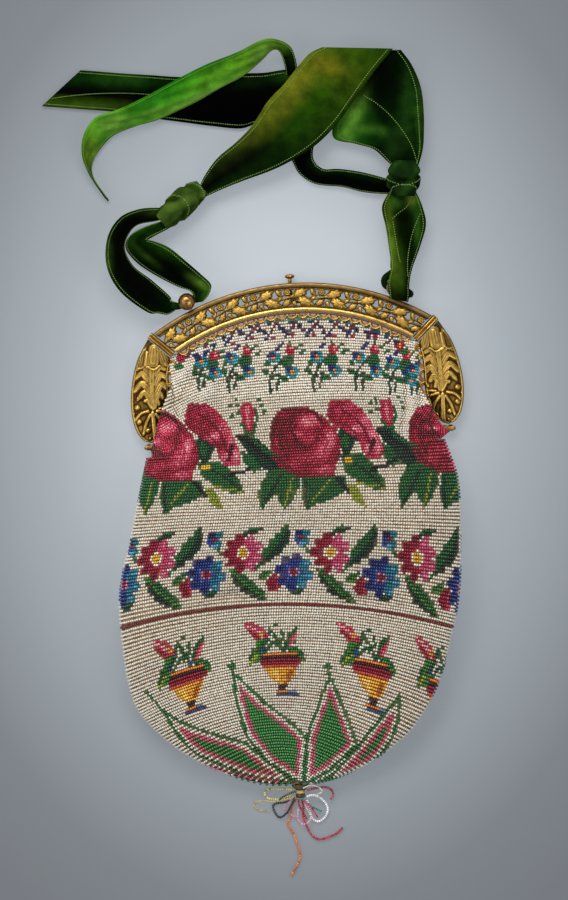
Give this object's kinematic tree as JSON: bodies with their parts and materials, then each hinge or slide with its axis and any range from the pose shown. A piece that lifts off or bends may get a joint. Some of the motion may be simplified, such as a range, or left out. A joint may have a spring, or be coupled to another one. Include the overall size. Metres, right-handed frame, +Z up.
{
  "type": "beaded bag",
  "caption": "Knitted glass-bead bag on an arched, pierced gilt-brass frame with hinged halves, a push catch and a knotted velvet ribbon handle.",
  "frame": {"origin": "on the surface that the bag lies on, under the middle of the hinge line, on the flat underside of the bead fabric", "axes": "+Z up from the surface through the bag's thickness, +Y from the bag towards the handle, +X to the right seen from the front"},
  "size_m": [0.2264, 0.4527, 0.035],
  "materials": {
    "gilt_brass": "worn gilding, bright on the high places",
    "dull_gilt": "tarnished",
    "spring_steel": "drawn wire",
    "ivory_beads": "knitted glass beads",
    "green_silk": "plain silk",
    "green_velvet": "crushed velvet with woven edges",
    "tied_thread": "wound cotton thread",
    "orange_beads": "opaque beads",
    "red_beads": "opaque beads",
    "white_beads": "opaque beads",
    "pink_beads": "opaque beads",
    "black_beads": "opaque beads",
    "yellow_beads": "opaque beads",
    "rust_beads": "opaque beads",
    "gold_thread": "twisted thread"
  },
  "bodies": {
    "rear_frame": {"rear_rim": "gilt_brass", "rear_inner_bar": "gilt_brass", "rear_gallery": "gilt_brass", "rear_scallops": "gilt_brass", "rear_end_plate_left": "gilt_brass", "rear_end_plate_right": "gilt_brass", "rear_collar_left": "gilt_brass", "rear_collar_right": "gilt_brass", "rear_knuckle_left": "dull_gilt", "rear_knuckle_right": "dull_gilt", "hinge_pin_left": "dull_gilt", "hinge_pin_right": "dull_gilt", "catch_guide": "dull_gilt", "catch_spring": "spring_steel", "ribbon_eye_left": "dull_gilt", "ribbon_eye_right": "dull_gilt", "bag_body": "ivory_beads", "bag_lining": "green_silk", "bag_gather": "tied_thread", "ribbon_left_loop_outer": "green_velvet", "ribbon_left_loop_inner": "green_velvet", "ribbon_left_link": "green_velvet", "ribbon_left_knot": "green_velvet", "ribbon_main_band": "green_velvet", "ribbon_right_fold": "green_velvet", "ribbon_right_knot": "green_velvet", "ribbon_right_drop": "green_velvet", "ribbon_right_drop_back": "green_velvet", "ribbon_right_link": "green_velvet", "ribbon_cross_strand": "green_velvet", "ribbon_long_tail": "green_velvet", "ribbon_short_tail": "green_velvet", "strand_orange": "orange_beads", "strand_red": "red_beads", "loop_white": "white_beads", "loop_pink": "pink_beads", "loop_black": "black_beads", "loop_yellow": "yellow_beads", "loop_rust": "rust_beads", "thread_gold": "gold_thread"},
    "front_frame": {"front_rim": "gilt_brass", "front_inner_bar": "gilt_brass", "front_gallery": "gilt_brass", "front_scallops": "gilt_brass", "front_end_plate_left": "gilt_brass", "front_end_plate_right": "gilt_brass", "front_collar_left": "gilt_brass", "front_collar_right": "gilt_brass", "front_knuckle_left": "dull_gilt", "front_knuckle_right": "dull_gilt", "catch_hook": "dull_gilt", "bag_front_panel": "ivory_beads", "bag_lining_front": "green_silk"},
    "catch_button": {"catch_button": "dull_gilt"}
  },
  "joints": [
    {"name": "frame_hinge", "type": "hinge", "parent": "rear_frame", "child": "front_frame", "pos_m": [0, 0, 0.0052], "axis": [0.9979, 0.0645, 0], "range_deg": [0, 85], "deforming": ["bag_front_panel", "bag_lining_front"]},
    {"name": "catch_push", "type": "slide", "parent": "rear_frame", "child": "catch_button", "axis": [0.0645, -0.9979, 0], "range_m": [0, 0.0018], "stiffness_N_per_m": 400, "springref_m": -0.0008, "deforming": ["catch_spring"]}
  ]
}
